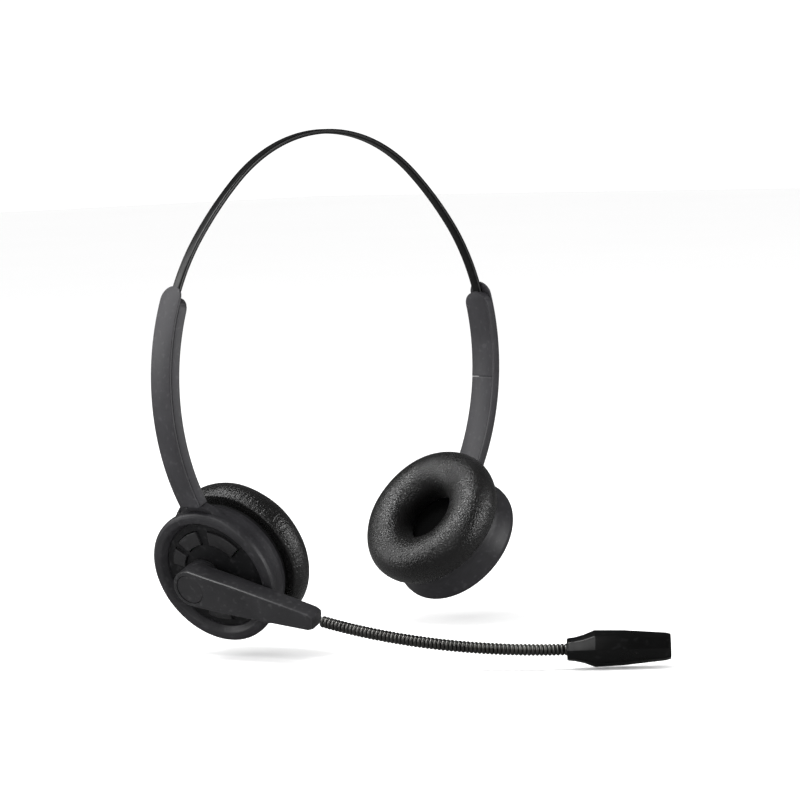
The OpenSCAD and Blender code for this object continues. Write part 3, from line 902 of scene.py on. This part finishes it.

# gooseneck: three ribbed runs, each bent along the gooseneck's arc
# a run is name, start, ribs, its two bodies, the stretch that bends, the CAD nodes it stands for

neckSizes = {"start": (52, 8.3), "arc": 175.58, "pitch": 1.45, "wire": 0.72, "core": 1.42,
             "groove": 0.1, "around": 28, "ribFrom": 14, "ribSweep": 152, "ribSteps": 7,
             "runs": [("gooseneckNear", 2.2, 12, ("boom", "neck_lower"), (1.2, 8.5),
                       ("gooseneck_1", "neck_collar")),
                      ("gooseneckMiddle", 19.6, 20, ("neck_lower", "neck_middle"), (25, 43),
                       ("gooseneck_2",)),
                      ("gooseneckFar", 48.6, 32, ("neck_middle", "neck_upper"), (56, 74),
                       ("gooseneck_3",))]}


def alongNeck(distance):
    # a point on the gooseneck's own line, in the boom's frame
    s = neckSizes
    turn = distance / s["arc"]
    x, z = s["start"]
    return Vector((
        (x + s["arc"] * math.sin(turn)) * mm, 0, (z - s["arc"] * (1 - math.cos(turn))) * mm))


def ribOutline():
    s = neckSizes
    half = s["pitch"] / 2
    outline = [(s["core"] + s["groove"], 0.0)]
    for step in range(s["ribSteps"] + 1):
        turn = math.radians(s["ribFrom"] + s["ribSweep"] * step / s["ribSteps"])
        outline.append((s["core"] + s["wire"] * math.sin(turn), half - half * math.cos(turn)))
    return outline + [(s["core"] + s["groove"], s["pitch"])]


def makeGooseneck():
    s = neckSizes
    neckFrame = boomFrame @ axesFrame(alongNeck(0), (0, 0, -1), (1, 0, 0))
    for name, start, count, bodies, (low, high), nodes in s["runs"]:
        run = turned(name, ribOutline(), s["around"])
        applied(run, "ARRAY", count=count, use_relative_offset=False, use_constant_offset=True,
                constant_offset_displace=(0, 0, s["pitch"] * mm),
                use_merge_vertices=True, merge_threshold=mergeGap)
        moveVerts(run, lambda point: point + Vector((0, 0, start * mm)))
        applied(run, "SIMPLE_DEFORM", deform_method="BEND", deform_axis="Y",
                angle=count * s["pitch"] / s["arc"])
        placed(run, neckFrame)
        finished(run, None, "neck", "gooseneck_black", *nodes, angle=60)
        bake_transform(run)


makeGooseneck()
print("gooseneck made")

# microphone capsule: eight-sided sections of (distance, half height, half depth)

capsuleSizes = {"from": 93, "edge": 0.45, "edgeCorner": 14, "sides": 8, "flatToCorner": 0.924,
                "sections": [(0, 3.5, 3.5), (0.5, 3.85, 3.75), (2.6, 4.05, 3.85),
                             (6.0, 4.9, 4.35), (9.8, 6.45, 5.2), (20, 6.1, 5.05),
                             (34.8, 4.75, 4.4), (36.5, 4.3, 3.9)],
                "window": 22, "windowHole": (2.6, -4.0, -9.0)}


def makeCapsule():
    s = capsuleSizes
    turn = s["from"] / neckSizes["arc"]
    forward = Vector((math.cos(turn), 0, -math.sin(turn)))
    outward = Vector((math.sin(turn), 0, math.cos(turn)))
    capsuleFrame = boomFrame @ axesFrame(alongNeck(s["from"]), outward, forward)
    # in its own frame Z runs along the capsule and X points outwards
    halfSide = math.pi / s["sides"]
    bpy.ops.mesh.primitive_circle_add(
        vertices=s["sides"], radius=mm, location=(0, 0, 0), rotation=(0, 0, halfSide))
    capsule = named("capsule")
    startEdit(capsule)
    bpy.ops.mesh.select_all(action="SELECT")
    distance, high, deep = s["sections"][0]
    widen(deep / s["flatToCorner"], high / s["flatToCorner"])
    bpy.ops.mesh.edge_face_add()
    for (z0, high0, deep0), (z1, high1, deep1) in zip(s["sections"], s["sections"][1:]):
        pullUp(z1 - z0)
        widen(deep1 / deep0, high1 / high0)
    endEdit()
    cleaned(capsule)
    rounded(capsule, s["edge"], 3, s["edgeCorner"])
    inwards = axesFrame((0, 0, s["window"] * mm), (0, 1, 0), (1, 0, 0))
    drilled(capsule, "grilleHole", *s["windowHole"], 48, inwards)
    placed(capsule, capsuleFrame)
    finished(capsule, "neck_upper", "capsule", "capsule_black", "capsule_front", "capsule_rear",
             angle=24)


makeCapsule()
print("capsule made")

# ear pads: a stuffed ring, lumpy, flattened and puckered; seeds make the two differ

padSizes = {"major": 19.4, "minor": 9.15, "around": 448, "across": 64, "middle": -15,
            "seat": -9.97, "seeds": {"left": 1.3, "right": 7.7}, "fill": 0.85,
            "facePress": 0.05, "lump": 0.22, "lumpRate": 1.7,
            "puckers": 84, "puckerDepth": 0.62, "puckerLimit": 60, "puckerMiddle": 22,
            "puckerReach": (24, 26), "puckerFade": 1.3, "creaseDepth": 0.07, "creaseRate": 46,
            "seamAt": 30, "seamHalf": 4, "seamDepth": 0.35}


def ringNoise(turn, rate, third):
    # noise that closes on itself round the ring
    return noise.noise(Vector((math.cos(turn) * rate, math.sin(turn) * rate, third)))


def padShape(point, seed):
    s = padSizes
    turn = math.atan2(point.y, point.x)
    offset, height = math.hypot(point.x, point.y) / mm - s["major"], point.z / mm
    around = math.atan2(height, offset)  # 0 at the outer edge, rising towards the cup
    size = math.hypot(offset, height)
    # soft flattening of the face that meets the head
    if around < 0:
        size *= 1 - s["facePress"] * max(0.0, math.sin(-around)) ** 3
    size += s["lump"] * ringNoise(turn, s["lumpRate"], around * 0.8 + seed)
    # puckers: strongest by the outer back edge, dying out over the shoulder
    near = math.degrees(around)
    if abs(near) < s["puckerLimit"]:
        wander = ringNoise(turn, 3, seed * 3.1) * 2.2
        sway = 0.35 * math.sin(near * 0.09 + turn * 5)
        fold = math.sin(turn * s["puckers"] + wander * 3 + sway)
        patch = 0.5 + 0.5 * ringNoise(turn, 2.1, seed + 9)
        least, more = s["puckerReach"]
        reach = max(0.0, 1 - abs(near - s["puckerMiddle"]) / (least + more * patch))
        reach **= s["puckerFade"]
        size -= s["puckerDepth"] * patch * reach * (0.5 + 0.5 * fold) ** 2
        crease = noise.noise(Vector((turn * s["creaseRate"], near * 0.05, seed)))
        size += s["creaseDepth"] * crease * reach
    # gathered seam by the ring
    if abs(near - s["seamAt"]) < s["seamHalf"]:
        size -= s["seamDepth"] * (1 - abs(near - s["seamAt"]) / s["seamHalf"])
    radius = (s["major"] + math.cos(around) * size) * mm
    level = min(math.sin(around) * size + s["middle"], s["seat"]) * mm
    return Vector((math.cos(turn) * radius, math.sin(turn) * radius, level))


def makePad(side):
    s = padSizes
    bpy.ops.mesh.primitive_torus_add(
        major_segments=s["around"], minor_segments=s["across"],
        major_radius=s["major"] * mm, minor_radius=s["minor"] * mm)
    pad = named(side + "EarPad")
    moveVerts(pad, lambda point: padShape(point, s["seeds"][side]))
    placed(pad, cupFrame[side])
    finished(pad, side + "_arm", "pad", "pad_leather", side + "_ear_pad", angle=180)


for side in ("left", "right"):
    makePad(side)
print("ear pads made")

# floor, light and camera; each light is name, place, width and height, watts

stageSizes = {
    "floorSize": 9, "floorCentre": (2.2, 2.0), "floorGap": 0.0006,
    "floorTones": (0.92, 0.94), "floorInGloss": 0.12,
    "roomLight": 1.12, "roomInGloss": 0.09, "lit": (0, 0, -0.1),
    "lights": [("keySoftbox", (-1.15, -0.45, 0.45), (0.5, 0.7), 5),
               ("backSoftbox", (-0.75, 0.95, 0.42), (0.5, 1.1), 10),
               ("topSoftbox", (-0.45, 0.2, 0.95), (0.4, 0.4), 12),
               ("sideSoftbox", (0.5, -1.0, 0.1), (0.3, 0.7), 8)],
    "camera": (-1.0011, -0.9676, 0.0019), "lens": 166.9,
    "cameraRight": (0.67985, -0.73261, -0.03295), "cameraUp": (0.07633, 0.02600, 0.99674),
    "cameraBack": (-0.72937, -0.68015, 0.07360)}


def grey(value):
    return (value, value, value, 1.0)


def makeFloor():
    s = stageSizes
    lowest = min(cadBox[0][2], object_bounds()[0][2])
    bpy.ops.mesh.primitive_plane_add(
        size=s["floorSize"], location=(*s["floorCentre"], lowest - s["floorGap"]))
    floor = named("paleFloor")
    material, tree, shader = newMaterial("palePaper", Roughness=0.85, Specular_IOR_Level=0.2)
    place = objectCoordinates(tree)
    skin = useGroup(tree, mouldedGrain, place, Grain_Size=0.002, Tone_Size=0.4)
    tone = blendColour(tree, skin["Tone"], *(grey(value) for value in s["floorTones"]))
    # seen in the headset's gloss the paper is dark, so the softboxes stand out there
    glossy = addNode(tree, "LightPath").outputs["Is Glossy Ray"]
    seen = blendColour(tree, glossy, tone, grey(s["floorInGloss"]))
    tree.links.new(seen, shader.inputs["Base Color"])
    floor.data.materials.append(material)


def addLight(name, place, size, power):
    selectNone()
    bpy.ops.object.light_add(type="AREA", location=place)
    light = bpy.context.object
    light.name = name
    light.data.shape = "RECTANGLE"
    light.data.size, light.data.size_y = size
    light.data.energy = power
    aim = Vector(stageSizes["lit"]) - Vector(place)
    light.rotation_euler = aim.to_track_quat("-Z", "Y").to_euler()


def makeLights():
    s = stageSizes
    world = bpy.data.worlds.new("softRoom")
    bpy.context.scene.world = world
    world.use_nodes = True
    tree = world.node_tree
    background = tree.nodes["Background"]
    background.inputs["Color"].default_value = grey(1.0)
    # the room is white, but the softboxes are nearly all that shows in the gloss
    glossy = addNode(tree, "LightPath").outputs["Is Glossy Ray"]
    strength = remap(tree, glossy, 0.0, 1.0, s["roomLight"], s["roomInGloss"])
    tree.links.new(strength, background.inputs["Strength"])
    for light in s["lights"]:
        addLight(*light)
    bpy.context.scene.view_settings.view_transform = "Standard"


def makeCamera():
    s = stageSizes
    selectNone()
    bpy.ops.object.camera_add(location=s["camera"])
    camera = bpy.context.object
    camera.name = "mainCamera"
    axes = Matrix((s["cameraRight"], s["cameraUp"], s["cameraBack"]))
    camera.rotation_euler = axes.transposed().to_euler()
    camera.data.lens = s["lens"]
    camera.data.sensor_width = 36
    camera.data.clip_start = 0.05
    bpy.context.scene.camera = camera


makeFloor()
makeLights()
makeCamera()
selectNone()
print("stage, lights and camera made")
